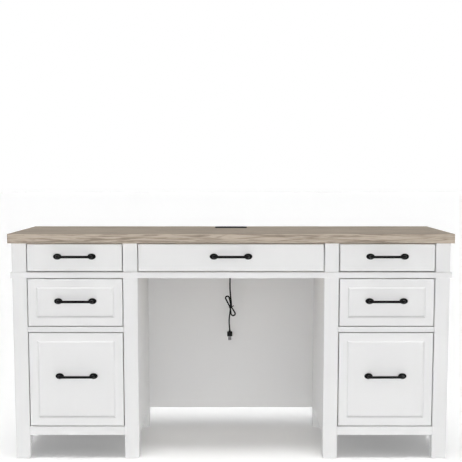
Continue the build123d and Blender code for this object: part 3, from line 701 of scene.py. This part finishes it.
class DESK_OT_lead(bpy.types.Operator):
    """Lay the hub's lead: down from the strain relief, through its tied hank, to the connector"""
    bl_idname = "desk.lead"
    bl_label = "Lead"

    def execute(self, context):
        sizes = context.scene.desk_lead
        gland_low, gland_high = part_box("hub_strain_relief")
        gland_middle = (gland_low + gland_high) / 2
        leaves = Vector((gland_middle.x, gland_middle.y, gland_low.z))
        crossing = Vector(HANK_CROSSING) * MM
        route = [Vector(point) * MM for point in LEAD_ABOVE_HANK]
        route += [crossing + point for point in hank_line(sizes)]
        route += [Vector(point) * MM for point in LEAD_BELOW_HANK]
        curve = bpy.data.curves.new("hub_lead", "CURVE")
        curve.dimensions = "3D"
        curve.resolution_u = 8
        curve.bevel_depth = sizes.diameter / 2
        curve.bevel_resolution = 5
        curve.use_fill_caps = True
        spline = curve.splines.new("NURBS")
        spline.points.add(len(route) - 1)
        for control, point in zip(spline.points, route):
            control.co = (*(leaves + point), 1.0)
        spline.order_u = 3
        spline.use_endpoint_u = True
        lead = bpy.data.objects.new("hub_lead", curve)
        context.scene.collection.objects.link(lead)
        curve.materials.append(finish("lead_sheath"))
        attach(lead, "carcase")
        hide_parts("lead_upper", "lead_hank", "lead_lower")
        tie = self.tie(sizes, leaves + crossing)
        return {"FINISHED"}

    def tie(self, sizes, crossing):
        """The flat tie round the crossing, with its twisted ends off to one side."""
        mesh = bmesh.new()
        half_deep = 1.5 * sizes.diameter + sizes.tie_gauge / 2
        lean = Matrix.Translation(crossing) @ Matrix.Rotation(-sizes.tilt, 4, "Y")
        ring = bmesh.ops.create_circle(mesh, cap_ends=False, radius=1.0, segments=40)["verts"]
        for vert in ring:
            vert.co = Vector((TIE_HALF_ACROSS * vert.co.x, half_deep * vert.co.y,
                              -sizes.tie_width / 2))
        grow(mesh, edges_of(ring), UP * sizes.tie_width)
        bmesh.ops.recalc_face_normals(mesh, faces=mesh.faces)
        bmesh.ops.solidify(mesh, geom=mesh.faces[:], thickness=sizes.tie_gauge)
        sharp = [edge for edge in mesh.edges
                 if edge.is_manifold and edge.calc_face_angle(0.0) > 1.0]
        rounded(mesh, sharp, TIE_ROUND, 2)
        deep = TIE_END_HALF_DEPTH + sizes.tie_gauge
        stub = brick(mesh,
                     Vector((TIE_HALF_ACROSS - TIE_END_INNER, -deep, -sizes.tie_width / 3)),
                     Vector((TIE_HALF_ACROSS + TIE_END_OUTER, deep, sizes.tie_width / 3)))
        end = [face for face in mesh.faces if set(face.verts) <= set(stub) and face.normal.x > 0.5]
        for _ in range(TIE_TWISTS):
            made = bmesh.ops.extrude_face_region(mesh, geom=end)
            verts = corners(made["geom"])
            bmesh.ops.translate(mesh, verts=verts, vec=Vector(TIE_TWIST_SHIFT))
            middle = sum((vert.co for vert in verts), Vector()) / len(verts)
            bmesh.ops.rotate(mesh, verts=verts, cent=middle,
                             matrix=Matrix.Rotation(radians(TIE_TWIST_ANGLE), 3, "X"))
            bmesh.ops.delete(mesh, geom=end, context="FACES_ONLY")
            end = [item for item in made["geom"] if isinstance(item, bmesh.types.BMFace)]
        bmesh.ops.transform(mesh, matrix=lean, verts=mesh.verts)
        return piece("lead_twist_tie", mesh, "carcase", "black_plastic", ["lead_tie"])


class DESK_OT_connector(bpy.types.Operator):
    """Mould the connector's grip and boot, and form its metal shell with the tongue inside"""
    bl_idname = "desk.connector"
    bl_label = "Connector"

    def execute(self, context):
        self.grip()
        self.shell(context.scene.desk_lead)
        return {"FINISHED"}

    def grip(self):
        """The grip with its two ribbed panels, and the boot over it."""
        low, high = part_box("connector_body")
        middle = (low + high) / 2
        top = high.z - BOOT_LENGTH
        mesh = bmesh.new()
        verts = brick(mesh, low, Vector((high.x, high.y, top)))
        shoulders = [edge for edge in edges_of(verts)
                     if all(vert.co.z > top - WELD for vert in edge.verts)
                     and abs(edge.verts[0].co.y - edge.verts[1].co.y) > WELD]
        rounded(mesh, shoulders, GRIP_SHOULDER, 5)
        sharp = [edge for edge in mesh.edges if edge.calc_face_angle(0.0) > radians(30.0)]
        rounded(mesh, sharp, GRIP_ROUND, 3)
        for side in (-1.0, 1.0):
            broad = max((face for face in mesh.faces if face.normal.y * side > FACES_AXIS),
                        key=lambda face: face.calc_area())
            bmesh.ops.inset_region(mesh, faces=[broad], thickness=PANEL_MARGIN, depth=0.0)
            bmesh.ops.inset_region(mesh, faces=[broad], thickness=PANEL_SINK, depth=-PANEL_SINK)
            for row in range(RIBS):
                z = low.z + RIB_START + RIB_PITCH * row
                y = middle.y + side * ((high.y - low.y) / 2 - RIB_HALF_DEPTH)
                rib = brick(mesh,
                            Vector((middle.x - RIB_HALF_WIDTH, y - RIB_HALF_DEPTH, z)),
                            Vector((middle.x + RIB_HALF_WIDTH, y + RIB_HALF_DEPTH, z + RIB_TALL)))
                rounded(mesh, edges_of(rib), RIB_ROUND, 2)
        turned(mesh, self.boot(high.z - top), Vector((middle.x, middle.y, top)), UP, 32)
        piece("connector_moulding", mesh, "carcase", "black_plastic", ["connector_body"])

    def boot(self, tall):
        """The boot's profile, as (radius, rise over the grip)."""
        profile = [(0.0, -BOOT_SEAT), (BOOT_RADIUS, -BOOT_SEAT), (BOOT_RADIUS, BOOT_COLLAR)]
        for ring in range(BOOT_RINGS):
            start = BOOT_RING_START + BOOT_RING_PITCH * ring
            radius = BOOT_RING_RADIUS - BOOT_RING_TAPER * ring
            profile += [(radius - groove, start + rise) for groove, rise in BOOT_RING]
        return profile + [(BOOT_TIP, tall - BOOT_TIP_ROUND), (BOOT_TIP_INNER, tall), (0.0, tall)]

    def shell(self, sizes):
        """The folded shell, open at both ends, with two windows in each broad side."""
        low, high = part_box("connector_shell")
        middle = (low + high) / 2
        mesh = bmesh.new()
        verts = brick(mesh, low, high + UP * SHELL_SEAT)
        rounded(mesh, upright(verts), SHELL_ROUND, 3)
        bmesh.ops.delete(mesh, geom=ends(mesh), context="FACES_ONLY")
        window_low = low.z + WINDOW_RISE
        window_high = window_low + WINDOW_TALL
        cuts = [(Vector((middle.x + x, 0.0, 0.0)), Vector((1.0, 0.0, 0.0)))
                for x in (-WINDOW_FAR, -WINDOW_NEAR, WINDOW_NEAR, WINDOW_FAR)]
        cuts += [(Vector((0.0, 0.0, z)), UP) for z in (window_low, window_high)]
        for place, across in cuts:
            bmesh.ops.bisect_plane(mesh, geom=everything(mesh), plane_co=place, plane_no=across)
        windows = []
        for face in mesh.faces:
            spot = face.calc_center_median()
            in_width = WINDOW_NEAR < abs(spot.x - middle.x) < WINDOW_FAR
            in_height = window_low < spot.z < window_high
            if abs(face.normal.y) > FACES_AXIS and in_width and in_height:
                windows.append(face)
        bmesh.ops.delete(mesh, geom=windows, context="FACES")
        bmesh.ops.recalc_face_normals(mesh, faces=mesh.faces)
        bmesh.ops.solidify(mesh, geom=mesh.faces[:], thickness=sizes.shell_wall)
        piece("connector_plug_shell", mesh, "carcase", "connector_steel", ["connector_shell"],
              50.0)
        self.tongue(low, high)

    def tongue(self, low, high):
        """The tongue inside the shell, with its four contacts."""
        middle = (low + high) / 2
        mesh = bmesh.new()
        verts = brick(mesh,
                      low + Vector((TONGUE_SIDE_GAP, TONGUE_FRONT_GAP, TONGUE_END_GAP)),
                      Vector((high.x - TONGUE_SIDE_GAP, middle.y + TONGUE_PAST_MIDDLE, high.z)))
        rounded(mesh, edges_of(verts), TONGUE_ROUND, 2)
        for place in FOUR_PLACES:
            x = middle.x + place * CONTACT_PITCH
            strip = brick(mesh,
                          Vector((x - CONTACT_HALF_WIDTH, middle.y, low.z + CONTACT_START)),
                          Vector((x + CONTACT_HALF_WIDTH, middle.y + CONTACT_PROUD,
                                  high.z - CONTACT_END)))
            rounded(mesh, edges_of(strip), CONTACT_ROUND, 1)
        piece("connector_tongue", mesh, "carcase", "black_plastic")


class DESK_OT_hub(bpy.types.Operator):
    """Turn the hub's ribbed strain relief and line its ports with folded shells"""
    bl_idname = "desk.hub"
    bl_label = "Hub"

    def execute(self, context):
        self.strain_relief()
        self.port_shells()
        return {"FINISHED"}

    def strain_relief(self):
        """The flange and the tapering rings that the lead comes out of."""
        low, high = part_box("hub_strain_relief")
        middle = (low + high) / 2
        tall = high.z - low.z
        profile = [(radius, -drop) for radius, drop in GLAND_FLANGE]
        for ring in range(GLAND_RINGS):
            start = GLAND_RING_START + ring * (tall - GLAND_RING_SPAN) / GLAND_RINGS
            radius = GLAND_RING_RADIUS - GLAND_TAPER * ring / GLAND_RINGS
            profile += [(radius - groove, -start - drop) for groove, drop in GLAND_RING]
        profile += [(GLAND_TIP, -tall + GLAND_TIP_ROUND), (GLAND_TIP_INNER, -tall), (0.0, -tall)]
        mesh = bmesh.new()
        turned(mesh, profile, Vector((middle.x, middle.y, high.z)), UP, 40)
        piece("hub_gland", mesh, "carcase", "black_plastic", ["hub_strain_relief"])

    def port_shells(self):
        """A folded lining in each of the four ports."""
        low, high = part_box("hub_port_plate")
        middle = (low + high) / 2
        mesh = bmesh.new()
        for place in FOUR_PLACES:
            x = middle.x + place * PORT_PITCH
            verts = brick(mesh,
                          Vector((x - PORT_HALF_WIDTH, middle.y - PORT_HALF_DEPTH,
                                  high.z - PORT_DEEP)),
                          Vector((x + PORT_HALF_WIDTH, middle.y + PORT_HALF_DEPTH,
                                  high.z + PORT_PROUD)))
            rounded(mesh, upright(verts), PORT_ROUND, 2)
        bmesh.ops.delete(mesh, geom=ends(mesh), context="FACES_ONLY")
        bmesh.ops.recalc_face_normals(mesh, faces=mesh.faces)
        bmesh.ops.solidify(mesh, geom=mesh.faces[:], thickness=PORT_WALL)
        piece("hub_port_shells", mesh, "carcase", "connector_steel", smooth_below=50.0)


class DESK_OT_pulls(bpy.types.Operator):
    """Form the seven bar pulls with their oval rosettes, flared feet and screws"""
    bl_idname = "desk.pulls"
    bl_label = "Pulls"

    def execute(self, context):
        sizes = context.scene.desk_pulls
        for node in sorted(frame["nodes"]):
            if node.endswith("_drawer_pull"):
                self.pull(sizes, node)
        return {"FINISHED"}

    def pull(self, sizes, node):
        """One pull: its left half is modelled and mirrored."""
        low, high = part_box(node)
        middle = (low + high) / 2
        reach = (high.x - low.x - sizes.rosette_length) / 2
        bar_y = low.y + sizes.bar / 2
        seat_y = bar_y + sizes.standoff
        post = Vector((middle.x - reach, seat_y, middle.z))
        mesh = bmesh.new()
        self.rosette(mesh, sizes, post)
        self.half_bar(mesh, sizes, post, bar_y, middle.x)
        self.screw(mesh, sizes, post, high.y - sizes.screw_head_height)
        bmesh.ops.mirror(mesh, geom=everything(mesh), merge_dist=WELD, axis="X",
                         matrix=Matrix.Translation((-middle.x, 0.0, 0.0)))
        piece(node.replace("_drawer_pull", "_bar_pull"), mesh, node.replace("_pull", ""),
              "black_metal", [node], 48.0)

    def rosette(self, mesh, sizes, post):
        """The oval plate, with a rounded rim and a fine groove inside it."""
        half_length = sizes.rosette_length / 2
        half_height = sizes.rosette_height / 2

        def pinch(before, after):
            """The scale that takes the oval's ring in by the same amount all round."""
            return ((half_length - after) / (half_length - before), 1.0,
                    (half_height - after) / (half_height - before))

        rim = disc(mesh, post, half_length, 48)
        verts = list({vert for edge in rim for vert in edge.verts})
        bmesh.ops.scale(mesh, verts=verts, vec=(1.0, 1.0, half_height / half_length),
                        space=Matrix.Translation(-post))
        rim = grow(mesh, rim, OUT * (sizes.rosette_thickness - sizes.rosette_round))
        inner_before = 0.0
        rise_before = 0.0
        for step in range(1, ROSETTE_STEPS + 1):
            turn = pi / 2 * step / ROSETTE_STEPS
            inner = sizes.rosette_round * (1 - cos(turn))
            rise = sizes.rosette_round * sin(turn)
            rim = grow(mesh, rim, OUT * (rise - rise_before), pinch(inner_before, inner))
            inner_before = inner
            rise_before = rise
        rim = grow(mesh, rim, OUT * -ROSETTE_SINK,
                   pinch(inner_before, inner_before + ROSETTE_GROOVE))
        bmesh.ops.contextual_create(mesh, geom=rim)

    def half_bar(self, mesh, sizes, post, bar_y, middle_x):
        """From the rosette out through the flared foot, round the bend and half way along."""
        foot = sizes.foot / 2
        bar = sizes.bar / 2
        start = post + OUT * sizes.rosette_thickness
        rim = disc(mesh, start, foot, 32)
        radius = foot
        travelled = 0.0
        for share, flare in FLARE:
            wanted = bar + (foot - bar) * flare
            along = share * sizes.foot_rise
            factor = wanted / radius
            rim = grow(mesh, rim, OUT * (along - travelled), (factor, factor, factor))
            radius = wanted
            travelled = along
        bend_y = bar_y + sizes.bend
        rim = grow(mesh, rim, OUT * (start.y - travelled - bend_y))
        verts = list({vert for edge in rim for vert in edge.verts})
        turn = bmesh.ops.spin(mesh, geom=verts + rim, axis=UP, angle=pi / 2, steps=10,
                              cent=Vector((post.x + sizes.bend, bend_y, post.z)),
                              dvec=NO_SHIFT, use_merge=False)
        last = corners(turn["geom_last"])
        grow(mesh, edges_of(last), Vector((middle_x - post.x - sizes.bend, 0.0, 0.0)))

    def screw(self, mesh, sizes, post, head_y):
        """The screw's head inside the drawer and the start of its shank."""
        head = sizes.screw_head / 2
        tall = sizes.screw_head_height
        profile = [(radius, sunk - tall) for radius, sunk in SCREW_SOCKET]
        profile += [(radius, -tall * share) for radius, share in SCREW_CROWN]
        profile += [(head, -tall * SCREW_RIM), (head, 0.0), (SCREW_SHANK, 0.0),
                    (SCREW_SHANK, SCREW_REACH), (0.0, SCREW_REACH)]
        turned(mesh, profile, Vector((post.x, head_y, post.z)), OUT, 28)


class DESK_OT_finishes(bpy.types.Operator):
    """Give every CAD node the finish of its slot"""
    bl_idname = "desk.finishes"
    bl_label = "Finishes"

    def execute(self, context):
        for row in frame["record"]["subparts"]:
            node = frame["nodes"][row["node"]]
            for place in node.material_slots:
                place.material = finish(row["material_slot"])
        return {"FINISHED"}


class DESK_OT_studio(bpy.types.Operator):
    """Set the pale floor, the white surround, the soft lights and the camera"""
    bl_idname = "desk.studio"
    bl_label = "Studio"

    def execute(self, context):
        studio = context.scene.desk_studio
        self.floor(studio)
        self.surround(studio)
        self.lights(studio)
        self.camera(studio)
        context.scene.view_settings.view_transform = "Standard"
        return {"FINISHED"}

    def floor(self, studio):
        """The pale floor, which gives off a little light itself."""
        mesh = bmesh.new()
        bmesh.ops.create_grid(mesh, x_segments=1, y_segments=1, size=FLOOR_HALF)
        data = bpy.data.meshes.new("studio_floor")
        mesh.to_mesh(data)
        mesh.free()
        floor = bpy.data.objects.new("studio_floor", data)
        bpy.context.scene.collection.objects.link(floor)
        recipe = Recipe("Studio floor", Base_Color=(0.95, 0.95, 0.95), Roughness=0.9,
                        Specular_IOR_Level=0.0, Emission_Color=(1.0, 1.0, 1.0),
                        Emission_Strength=studio.floor_glow)
        data.materials.append(recipe.material)

    def surround(self, studio):
        """A white room to the camera, and a dimmer one to the desk."""
        world = bpy.data.worlds.new("Studio surround")
        world.use_nodes = True
        bpy.context.scene.world = world
        tree = world.node_tree
        tree.nodes.clear()
        output = tree.nodes.new("ShaderNodeOutputWorld")
        blend = tree.nodes.new("ShaderNodeMixShader")
        path = tree.nodes.new("ShaderNodeLightPath")
        backgrounds = []
        for strength in (studio.surround, 1.0):
            background = tree.nodes.new("ShaderNodeBackground")
            background.inputs["Color"].default_value = (1.0, 1.0, 1.0, 1.0)
            background.inputs["Strength"].default_value = strength
            backgrounds.append(background)
        tree.links.new(path.outputs["Is Camera Ray"], blend.inputs[0])
        tree.links.new(backgrounds[0].outputs[0], blend.inputs[1])
        tree.links.new(backgrounds[1].outputs[0], blend.inputs[2])
        tree.links.new(blend.outputs[0], output.inputs["Surface"])

    def lights(self, studio):
        """Five soft suns, some of them tied to the floor or to the desk."""
        floor = bpy.data.objects["studio_floor"]
        painted = [frame["nodes"][row["node"]] for row in frame["record"]["subparts"]
                   if row["material_slot"] == "white_paint"]
        pulls = [thing for thing in bpy.data.objects if thing.name.endswith("_bar_pull")]
        floor_only = self.linked("floor only", [floor], "INCLUDE")
        not_floor = self.linked("all but the floor", [floor], "EXCLUDE")
        unpainted = self.linked("all but the paint and the pulls", painted + pulls, "EXCLUDE")
        shading = self.linked("all but the floor and the pulls", [floor] + pulls, "EXCLUDE")
        for name, right, height, spread, lit in (
                ("overhead", 0.0, 90.0, 80.0, floor_only),
                ("high_key", 0.0, 80.0, 25.0, unpainted),
                ("front_key", 0.0, 60.0, 50.0, None),
                ("side_key", 35.0, 20.0, 40.0, not_floor),
                ("bounce", 0.0, -20.0, 140.0, not_floor)):
            self.soft_sun(name, getattr(studio, name), right, height, spread, lit)
        bpy.data.objects["bounce"].light_linking.blocker_collection = shading

    def linked(self, name, things, state):
        """A collection that ties a light to these objects, or to all others."""
        made = bpy.data.collections.new(name)
        for thing in things:
            made.objects.link(thing)
        for entry in made.collection_objects:
            entry.light_linking.link_state = state
        return made

    def soft_sun(self, name, strength, right, height, spread, lit):
        """A soft far light, so many degrees to the right of the front and above the floor."""
        data = bpy.data.lights.new(name, "SUN")
        data.energy = strength
        data.angle = radians(spread)
        light = bpy.data.objects.new(name, data)
        level = cos(radians(height))
        towards = Vector((sin(radians(right)) * level, -cos(radians(right)) * level,
                          sin(radians(height))))
        light.rotation_euler = (-towards).to_track_quat("-Z", "Y").to_euler()
        if lit:
            light.light_linking.receiver_collection = lit
        bpy.context.scene.collection.objects.link(light)

    def camera(self, studio):
        """The camera, in front of the middle of the desk."""
        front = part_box("left_outer_front_leg")[0].y
        data = bpy.data.cameras.new("studio_camera")
        data.sensor_width = SENSOR_WIDTH
        data.lens = studio.focal_length
        data.shift_y = studio.camera_rise
        data.clip_end = FAR_CLIP
        camera = bpy.data.objects.new("studio_camera", data)
        camera.location = (0.0, front - studio.camera_distance, studio.camera_height)
        camera.rotation_euler = (pi / 2 - studio.camera_drop, 0.0, 0.0)
        bpy.context.scene.collection.objects.link(camera)
        bpy.context.scene.camera = camera


class DESK_PT_panel(bpy.types.Panel):
    """Lists the desk's steps and their settings"""
    bl_label = "Desk"
    bl_idname = "DESK_PT_panel"
    bl_space_type = "VIEW_3D"
    bl_region_type = "UI"
    bl_category = "Desk"

    def draw(self, context):
        for step in STEPS:
            self.layout.operator(step.bl_idname)
        for group in GROUPS:
            box = self.layout.box()
            settings = getattr(context.scene, group)
            for name in settings.bl_rna.properties.keys():
                if name not in ("rna_type", "name"):
                    box.prop(settings, name)


STEPS = (DESK_OT_finishes, DESK_OT_connector, DESK_OT_lead, DESK_OT_hub, DESK_OT_pulls,
         DESK_OT_studio)
GROUPS = {
    "desk_pulls": DeskPulls,
    "desk_lead": DeskLead,
    "desk_finishes": DeskFinishes,
    "desk_studio": DeskStudio,
}


def register():
    """Register the property groups, the operators and the panel."""
    for name, group in GROUPS.items():
        bpy.utils.register_class(group)
        setattr(bpy.types.Scene, name, PointerProperty(type=group))
    for step in STEPS:
        bpy.utils.register_class(step)
    bpy.utils.register_class(DESK_PT_panel)


def unregister():
    """Take everything back out."""
    bpy.utils.unregister_class(DESK_PT_panel)
    for step in reversed(STEPS):
        bpy.utils.unregister_class(step)
    for name, group in reversed(GROUPS.items()):
        delattr(bpy.types.Scene, name)
        bpy.utils.unregister_class(group)


def main():
    """Build the desk's visual model."""
    register()
    for step in STEPS:
        group, name = step.bl_idname.split(".")
        getattr(getattr(bpy.ops, group), name)()


if __name__ == "__main__":
    main()
